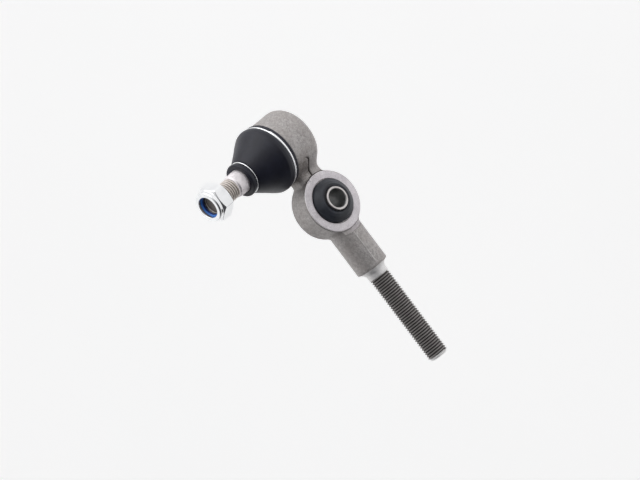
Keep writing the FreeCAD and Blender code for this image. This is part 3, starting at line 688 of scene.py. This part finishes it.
def bush_rubber():
    """Rubber of the bush: a dome on each side of the eye with a recess round the sleeve."""
    side = [
        (11.8, 6.6, 0), (12.65, 6.75, 0.2), (12.6, EYE_HALF + 1.1, 1.2), (10.6, RUBBER_HALF - 1.3, 1.5),
        (8.9, RUBBER_HALF, 0.9), (7.9, RUBBER_HALF - 0.1, 0.5), (7.3, RUBBER_HALF - 0.7, 0.3),
        (SLEEVE_R + 0.04, RUBBER_HALF - 0.9, 0.1),
    ]
    return lathe("bush_rubber_detail", side + mirrored(side), "y", arc_steps=6)


def inner_sleeve():
    """Turned steel sleeve with small edge breaks."""
    bore, mouth, edge = 5.25, 0.45, 0.5
    outline = [
        (bore, edge - SLEEVE_HALF, 0.1), (bore + mouth, -SLEEVE_HALF, 0.1), (SLEEVE_R, -SLEEVE_HALF, 0.35),
        (SLEEVE_R, SLEEVE_HALF, 0.35), (bore + mouth, SLEEVE_HALF, 0.1), (bore, SLEEVE_HALF - edge, 0.1),
    ]
    sleeve = lathe("sleeve_detail", outline, "y", segments=128, arc_steps=4)
    # The bore and its inner bevel take the second, darker look: painted shade inside the hole.
    bore_faces(sleeve, bore + 0.4, "y")
    return sleeve


def insert_ring():
    """Nylon ring in the nut's collar, rounded where the stud comes through."""
    low, high = INSERT_LOW.z, INSERT_HIGH.z
    outer = INSERT_HIGH.x - STUD_X
    bore, mouth, edge = 5.6, 0.45, 0.5
    outline = [
        (bore, low, 0.3), (outer, low, 0.1), (outer, high, 0.1),
        (bore + mouth, high, 0.15), (bore, high - edge, 0.2),
    ]
    ring = lathe("insert_detail", outline, "z", segments=128)
    # The bore takes the second, darker blue: painted shade inside the ring.
    bore_faces(ring, bore + 0.1, "z")
    return ring


# --- materials -----------------------------------------------------------------------------------

class Look:
    """One procedural material and short ways of adding nodes to it."""

    def __init__(self, name):
        self.made = bpy.data.materials.new(name)
        self.made.use_nodes = True
        self.tree = self.made.node_tree
        self.shader = self.tree.nodes["Principled BSDF"]
        self.place = self.node("ShaderNodeTexCoord").outputs["Object"]

    def node(self, kind, inputs=None, **settings):
        """A node with its settings; each input is a value or a socket to link."""
        added = self.tree.nodes.new(kind)
        for key, content in settings.items():
            setattr(added, key, content)
        for key, content in (inputs or {}).items():
            if isinstance(content, bpy.types.NodeSocket):
                self.tree.links.new(content, added.inputs[key])
            else:
                added.inputs[key].default_value = content
        return added

    def noise(self, scale, detail=4.0, roughness=0.55, stretch=(1, 1, 1)):
        """Noise over the object; the scale counts features in a metre."""
        spot = self.node("ShaderNodeMapping", {"Vector": self.place, "Scale": stretch}).outputs[0]
        made = self.node("ShaderNodeTexNoise", {"Vector": spot, "Scale": scale, "Detail": detail,
                                                "Roughness": roughness})
        return made.outputs["Fac"]

    def spread(self, share, low, high, start=0.0, end=1.0):
        """Stretch a value from low..high to start..end, clamped."""
        return self.node("ShaderNodeMapRange", {"Value": share, "From Min": low, "From Max": high,
                                                "To Min": start, "To Max": end}).outputs[0]

    def sums(self, one, two, operation="ADD"):
        """Two values combined."""
        return self.node("ShaderNodeMath", {0: one, 1: two}, operation=operation).outputs[0]

    def mixed(self, share, dark, light):
        """A colour between two; each is a colour or a socket."""
        made = self.node("ShaderNodeMix", data_type="RGBA")
        for socket, content in ((made.inputs[0], share), (made.inputs[6], dark), (made.inputs[7], light)):
            if isinstance(content, bpy.types.NodeSocket):
                self.tree.links.new(content, socket)
            else:
                socket.default_value = (*content, 1.0) if isinstance(content, tuple) else content
        return made.outputs[2]

    def parts(self):
        """The x, y and z of the place."""
        return self.node("ShaderNodeSeparateXYZ", {"Vector": self.place}).outputs[0:3]

    def radius(self, one, two):
        """Distance from an axis, from the two coordinates across it."""
        squares = self.sums(self.sums(one, one, "MULTIPLY"), self.sums(two, two, "MULTIPLY"))
        return self.node("ShaderNodeMath", {0: squares}, operation="SQRT").outputs[0]

    def bump(self, height, depth, strength=1.0):
        """Bump the surface by this height, at most so deep in metres."""
        made = self.node("ShaderNodeBump", {"Height": height, "Distance": depth, "Strength": strength})
        self.tree.links.new(made.outputs[0], self.shader.inputs["Normal"])

    def finish(self, **sockets):
        """Set the shader's inputs and return the material."""
        for key, content in sockets.items():
            socket = self.shader.inputs[key.replace("_", " ")]
            if isinstance(content, bpy.types.NodeSocket):
                self.tree.links.new(content, socket)
            elif isinstance(content, tuple):
                socket.default_value = (*content, 1.0)
            else:
                socket.default_value = content
        return self.made


def forged_look():
    """Shot-blasted forging: pitted and mottled, with darker scale left in patches, and darker brown on the
    neck above its parting line.
    """
    look = Look("forged_steel_look")
    x, _, z = look.parts()
    patches = look.spread(look.noise(130, 5, 0.6), 0.34, 0.66)
    coarse = look.spread(look.noise(650, 5, 0.62), 0.32, 0.68, 0.0, 0.55)
    specks = look.spread(look.noise(1500, 3, 0.6), 0.36, 0.64, 0.0, 0.45)
    grain = look.sums(coarse, specks)
    fine = look.noise(3000, 3, 0.6)
    colour = look.mixed(grain, (0.25, 0.239, 0.234), (0.6, 0.572, 0.566))
    colour = look.mixed(look.spread(patches, 0, 1, 0.0, 0.55), colour, (0.36, 0.33, 0.318))
    # Darker brown on the neck between x -32 and -17 mm, above the parting line, less where the grain is
    # light.
    beside = look.sums(look.spread(x, -0.032, -0.027), look.spread(x, -0.021, -0.017, 1.0, 0.0), "MULTIPLY")
    beside = look.sums(beside, look.spread(z, -0.0003, 0.0006, 0.0, 0.75), "MULTIPLY")
    beside = look.sums(beside, look.spread(grain, 0.0, 1.0, 1.0, 0.45), "MULTIPLY")
    colour = look.mixed(beside, colour, (0.125, 0.105, 0.092))
    pits = look.spread(look.noise(1400, 2), 0.3, 0.5)
    rise = look.sums(pits, look.sums(grain, 0.6, "MULTIPLY"))
    height = look.sums(rise, look.sums(fine, 0.3, "MULTIPLY"))
    look.bump(height, 0.00008)
    rough = look.spread(grain, 0, 1, 0.6, 0.48)
    return look.finish(Base_Color=colour, Roughness=rough, Metallic=0.7)


def ledge_look():
    """Shallow cutter mark on the shank, lighter towards -Z and darkened with painted shade towards +Z, where
    the corner by the boss lies.
    """
    look = Look("ledge_look")
    z = look.parts()[2]
    grain = look.spread(look.noise(900, 4, 0.6), 0.3, 0.7)
    # The first colour is the ledge's own lit tone; the second is darker, painted shade for the corner
    # between the eye and the shank.
    near = look.mixed(grain, (0.42, 0.39, 0.405), (0.56, 0.53, 0.545))
    far = look.mixed(grain, (0.27, 0.255, 0.25), (0.4, 0.38, 0.375))
    colour = look.mixed(look.spread(z, -0.001, 0.005), near, far)
    look.bump(grain, 0.00004)
    return look.finish(Base_Color=colour, Roughness=look.spread(grain, 0, 1, 0.55, 0.45), Metallic=0.7)


def turned_look(name, axis, dark, light):
    """Machined steel with fine turning marks round an axis."""
    look = Look(name)
    x, y, z = look.parts()
    out, along = (look.radius(x, z), y) if axis == "y" else (look.radius(y, z), x)
    rings = look.node("ShaderNodeCombineXYZ", {"X": out, "Y": along}).outputs[0]
    marks = look.node("ShaderNodeTexNoise", {"Vector": rings, "Scale": 5200.0, "Detail": 2.0}).outputs["Fac"]
    stains = look.spread(look.noise(160, 4), 0.3, 0.7)
    grain = look.spread(look.noise(1100, 4, 0.6), 0.3, 0.7)
    worn = look.sums(look.sums(stains, 0.5, "MULTIPLY"), look.sums(grain, 0.5, "MULTIPLY"))
    colour = look.mixed(worn, dark, light)
    look.bump(look.sums(marks, grain), 0.00003)
    return look.finish(Base_Color=colour, Roughness=look.spread(marks, 0.3, 0.7, 0.42, 0.55), Metallic=0.65)


def thread_look(name, axis, crest, root, inner=THREAD_R - 0.8, outer=THREAD_R - 0.08):
    """Rolled thread: one colour at its inner radius, running into another at its outer radius."""
    look = Look(name)
    x, y, z = look.parts()
    if axis == "x":
        out = look.radius(y, z)
    else:
        out = look.radius(look.sums(x, STUD_X * MM, "SUBTRACT"), y)
    height = look.spread(out, inner * MM, outer * MM)
    wear = look.spread(look.noise(700, 4), 0.3, 0.7, 0.75, 1.0)
    colour = look.mixed(look.sums(height, wear, "MULTIPLY"), root, crest)
    look.bump(look.noise(2600, 3), 0.00005)
    return look.finish(Base_Color=colour, Roughness=look.spread(height, 0, 1, 0.6, 0.42), Metallic=0.5)


def ground_look():
    """Ground and polished stud steel with faint marks round its axis."""
    look = Look("stud_steel_look")
    marks = look.noise(500, 3, 0.5, (1, 1, 14))
    stains = look.spread(look.noise(220, 4), 0.35, 0.65)
    colour = look.mixed(stains, (0.7, 0.665, 0.68), (0.88, 0.84, 0.86))
    look.bump(marks, 0.00002)
    return look.finish(Base_Color=colour, Roughness=look.spread(marks, 0.3, 0.7, 0.46, 0.56), Metallic=0.85)


def zinc_look(name, dark, light, rough):
    """Bright plated steel with a faint uneven film."""
    look = Look(name)
    film = look.spread(look.noise(260, 4), 0.35, 0.65)
    fine = look.noise(2400, 3)
    look.bump(look.sums(fine, film), 0.000012)
    return look.finish(Base_Color=look.mixed(film, dark, light), Metallic=1.0,
                       Roughness=look.spread(fine, 0.3, 0.7, rough, rough + 0.08))


def rubber_look(name, dark, light, rough, shine, ridges):
    """Moulded rubber with a fine satin grain, dusty patches and, if wanted, ridges round the bush axis."""
    look = Look(name)
    dust = look.spread(look.noise(140, 5), 0.4, 0.75)
    grain = look.noise(3600, 3)
    broad = look.noise(260, 3)
    x, _, z = look.parts()
    rings = look.node("ShaderNodeCombineXYZ", {"X": look.radius(x, z)}).outputs[0]
    marks = look.node("ShaderNodeTexNoise", {"Vector": rings, "Scale": 1300.0, "Detail": 1.0}).outputs["Fac"]
    height = look.sums(grain, look.sums(broad, 2.0, "MULTIPLY"))
    look.bump(look.sums(height, look.sums(marks, ridges, "MULTIPLY")), 0.00003)
    return look.finish(Base_Color=look.mixed(dust, dark, light), Metallic=0.0, Specular_IOR_Level=shine,
                       Roughness=look.spread(grain, 0.3, 0.7, rough, rough + 0.12))


def plastic_look(name, dark, light, rough):
    """Moulded plastic, slightly cloudy."""
    look = Look(name)
    cloud = look.spread(look.noise(500, 3), 0.3, 0.7)
    look.bump(look.noise(2600, 3), 0.00002)
    return look.finish(Base_Color=look.mixed(cloud, dark, light), Metallic=0.0,
                       Roughness=look.spread(cloud, 0, 1, rough, rough + 0.1))


def paint(piece, *looks):
    """Give a piece its materials, in the order of its faces' material numbers."""
    slots = piece.data.materials
    for number, look in enumerate(looks):
        if number < len(slots):
            slots[number] = look
        else:
            slots.append(look)
    return piece


# --- making and placing --------------------------------------------------------------------------

FORGED = forged_look()
TURNED = turned_look("eye_face_look", "y", (0.47, 0.44, 0.465), (0.82, 0.785, 0.81))
RELIEF = turned_look("relief_look", "x", (0.68, 0.67, 0.67), (0.92, 0.91, 0.91))
# Painted highlight: the near-white edge look on the boss's bevel and on the flash nub stands in for light
# caught along the edge.
EDGE = turned_look("edge_highlight_look", "y", (0.75, 0.72, 0.74), (0.97, 0.94, 0.96))
LEDGE_LOOK = ledge_look()
FLASH = turned_look("flash_look", "x", (0.34, 0.325, 0.32), (0.72, 0.69, 0.69))
# Painted shade: a near-black look for the groove of the parting line and the groove beside the boss.
CRACK_SHADE = turned_look("parting_line_shade_look", "y", (0.02, 0.017, 0.015), (0.07, 0.06, 0.055))
# Painted shade: these threads are darker at their roots than at their crests, standing in for the shade in
# the thread's grooves.
SPINDLE = thread_look("spindle_thread_look", "x", (0.36, 0.34, 0.335), (0.065, 0.061, 0.06))
STUD_THREAD = thread_look("stud_thread_look", "z", (0.88, 0.815, 0.77), (0.24, 0.215, 0.19))
# Painted light and shade: the nut's thread is near-white at its inner radius, standing in for light on its
# crests, and near-black further in, standing in for the shade inside the bore.
NUT_THREAD = thread_look("nut_thread_look", "z", (0.02, 0.018, 0.016), (1.0, 0.95, 0.9), 5.32, 5.6)
# Painted shade: the sleeve's bore and its inner bevel are darker than the sleeve, standing in for the shade
# inside the hole.
BORE = zinc_look("bolt_hole_look", (0.17, 0.173, 0.175), (0.28, 0.28, 0.28), 0.5)
GROUND = ground_look()
ZINC = zinc_look("zinc_look", (0.8, 0.81, 0.82), (0.93, 0.94, 0.95), 0.12)
WIRE = zinc_look("spring_wire_look", (0.9, 0.91, 0.93), (0.97, 0.98, 1.0), 0.2)
COVER = zinc_look("cover_look", (0.42, 0.41, 0.4), (0.52, 0.51, 0.5), 0.34)
SPRING = zinc_look("disc_spring_look", (0.22, 0.23, 0.25), (0.32, 0.33, 0.35), 0.3)
SLEEVE = zinc_look("sleeve_look", (0.46, 0.435, 0.43), (0.64, 0.61, 0.6), 0.3)
BOOT = rubber_look("boot_rubber_look", (0.006, 0.0065, 0.0145), (0.012, 0.0135, 0.026), 0.38, 0.4, 0.0)
BUSH = rubber_look("bush_rubber_look", (0.012, 0.0145, 0.022), (0.032, 0.037, 0.05), 0.38, 0.5, 16.0)
NYLON = plastic_look("insert_look", (0.03, 0.17, 0.6), (0.05, 0.24, 0.75), 0.3)
# Painted shade: the insert's bore is a darker blue than the ring, standing in for the shade inside it.
NYLON_BORE = plastic_look("insert_bore_look", (0.012, 0.045, 0.24), (0.02, 0.07, 0.34), 0.34)
SEAT = plastic_look("seat_look", (0.72, 0.7, 0.64), (0.85, 0.84, 0.8), 0.4)


def put(piece, body, node):
    """Let a piece ride on its body and stand for its CAD node."""
    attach(piece, body)
    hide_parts(node)


arm = paint(forging(), FORGED, SPINDLE, TURNED, RELIEF, EDGE, LEDGE_LOOK, FLASH, CRACK_SHADE)
put(arm, "forging", "forged_body")
put(paint(ball_stud(), GROUND, STUD_THREAD), "stud", "ball_stud")
put(paint(lock_nut(), ZINC, NUT_THREAD), "nut", "lock_nut")
put(paint(insert_ring(), NYLON, NYLON_BORE), "nut_carrier", "nut_insert")
put(paint(bush_rubber(), BUSH), "forging", "bush_rubber")
put(paint(inner_sleeve(), SLEEVE, BORE), "bush_sleeve", "bush_inner_sleeve")
put(paint(wire_ring("large_ring_wire", LARGE_LOW, LARGE_HIGH, 128), WIRE),
    "forging", "boot_ring_large")
put(paint(wire_ring("small_ring_wire", SMALL_LOW, SMALL_HIGH, 300), WIRE),
    "boot_end", "boot_ring_small")

boot = paint(dust_boot(), BOOT)
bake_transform(boot)
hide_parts("dust_boot")

for shown, look in (("seat_upper", SEAT), ("seat_lower", SEAT), ("preload_spring", SPRING),
                    ("cover_plate", COVER), ("bush_outer_sleeve", SLEEVE)):
    paint(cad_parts[shown], look)


# --- camera, floor and light ---------------------------------------------------------------------

# How the part's axes lean as the camera sees them, then the view's centre and width in millimetres.
PICTURE_SLANT = math.radians(53.1)
SPINDLE_LEAN = math.radians(4.1)
STUD_LEAN = math.radians(54.0)
VIEW_CENTRE = (-3.3, -19.2)
VIEW_WIDTH = 349.7
LENS, SENSOR = 1000.0, 36.0


def camera_turn():
    """The camera's world rotation, from where the part's axes point as the camera sees them."""
    right_down = Vector((math.cos(PICTURE_SLANT), -math.sin(PICTURE_SLANT), 0))
    left_down = Vector((-math.sin(PICTURE_SLANT), -math.cos(PICTURE_SLANT), 0))
    near = Vector((0, 0, 1))
    spindle = right_down * math.cos(SPINDLE_LEAN) - near * math.sin(SPINDLE_LEAN)
    upright = right_down * math.sin(SPINDLE_LEAN) + near * math.cos(SPINDLE_LEAN)
    stud = left_down * math.sin(STUD_LEAN) + upright * math.cos(STUD_LEAN)
    bush = stud.cross(spindle)
    return Matrix((spindle, bush, stud))


TURN = camera_turn()


def from_camera(right, up, near):
    """A world place from camera axes through the bush centre, in metres."""
    return TURN @ Vector((right, up, near))


def add_camera():
    """The studio camera on a long lens."""
    data = bpy.data.cameras.new("studio_camera")
    data.lens = LENS
    data.sensor_width = SENSOR
    data.clip_start = 0.05
    camera = bpy.data.objects.new("studio_camera", data)
    bpy.context.scene.collection.objects.link(camera)
    distance = VIEW_WIDTH * LENS / SENSOR * MM
    camera.location = from_camera(VIEW_CENTRE[0] * MM, VIEW_CENTRE[1] * MM, distance)
    camera.rotation_euler = TURN.to_euler()
    bpy.context.scene.camera = camera


def add_lamp(name, right, up, near, size, power):
    """A soft square lamp, placed in camera axes and aimed at the part."""
    data = bpy.data.lights.new(name, "AREA")
    data.size = size
    data.energy = power
    lamp = bpy.data.objects.new(name, data)
    bpy.context.scene.collection.objects.link(lamp)
    lamp.location = from_camera(right, up, near)
    lamp.rotation_euler = lamp.location.to_track_quat("Z", "Y").to_euler()


def add_card(name, right, up, near, size):
    """A black card out of the picture, for dark reflections in the bright metal."""
    mesh = bpy.data.meshes.new(name)
    half = size / 2
    corners = [(-half, -half, 0), (half, -half, 0), (half, half, 0), (-half, half, 0)]
    mesh.from_pydata(corners, [], [(0, 1, 2, 3)])
    card = new_object(name, mesh)
    card.location = from_camera(right, up, near)
    card.rotation_euler = card.location.to_track_quat("Z", "Y").to_euler()
    card.visible_camera = False
    card.visible_diffuse = False
    look = Look("card_look")
    weave = look.spread(look.noise(40), 0.3, 0.7)
    black = look.mixed(weave, (0.01, 0.01, 0.01), (0.02, 0.02, 0.02))
    paint(card, look.finish(Base_Color=black, Roughness=0.9, Specular_IOR_Level=0.0))


def add_floor():
    """A plain pale floor well under the part."""
    mesh = bpy.data.meshes.new("studio_floor")
    reach, level = 6.0, -0.35
    mesh.from_pydata([(-reach, -reach, level), (reach, -reach, level),
                      (reach, reach, level), (-reach, reach, level)], [], [(0, 1, 2, 3)])
    floor = new_object("studio_floor", mesh)
    look = Look("floor_look")
    cloud = look.spread(look.noise(3), 0.3, 0.7)
    pale = look.mixed(cloud, (0.9, 0.9, 0.9), (0.92, 0.92, 0.92))
    paint(floor, look.finish(Base_Color=pale, Roughness=0.9, Emission_Color=(1.0, 1.0, 1.0),
                             Emission_Strength=0.36))


def add_sky():
    """A white light tent with a dim opening below the camera."""
    world = bpy.data.worlds.new("light_tent")
    bpy.context.scene.world = world
    world.use_nodes = True
    nodes, links = world.node_tree.nodes, world.node_tree.links
    glow = nodes["Background"]
    way = nodes.new("ShaderNodeTexCoord")
    facing = nodes.new("ShaderNodeVectorMath")
    facing.operation = "DOT_PRODUCT"
    dim_way = Vector((0.25, -0.72, 0.65))
    facing.inputs[1].default_value = TURN @ dim_way.normalized()
    links.new(way.outputs["Generated"], facing.inputs[0])
    ramp = nodes.new("ShaderNodeValToRGB")
    ramp.color_ramp.elements[0].position = 0.15
    ramp.color_ramp.elements[0].color = (1, 1, 1, 1)
    ramp.color_ramp.elements[1].position = 0.8
    ramp.color_ramp.elements[1].color = (0.05, 0.05, 0.055, 1)
    links.new(facing.outputs["Value"], ramp.inputs[0])
    links.new(ramp.outputs[0], glow.inputs["Color"])
    glow.inputs["Strength"].default_value = 1.0


# Each lamp and card stands so far right, up and near of the bush, in metres, with its size in metres.
add_camera()
add_lamp("key_lamp", -1.5, 1.7, 0.9, 2.6, 23)
add_lamp("fill_lamp", 1.7, 0.9, 0.3, 1.6, 9)
add_card("right_card", 0.46, -0.14, -0.13, 0.2)
add_floor()
add_sky()
bpy.context.scene.view_settings.view_transform = "Standard"
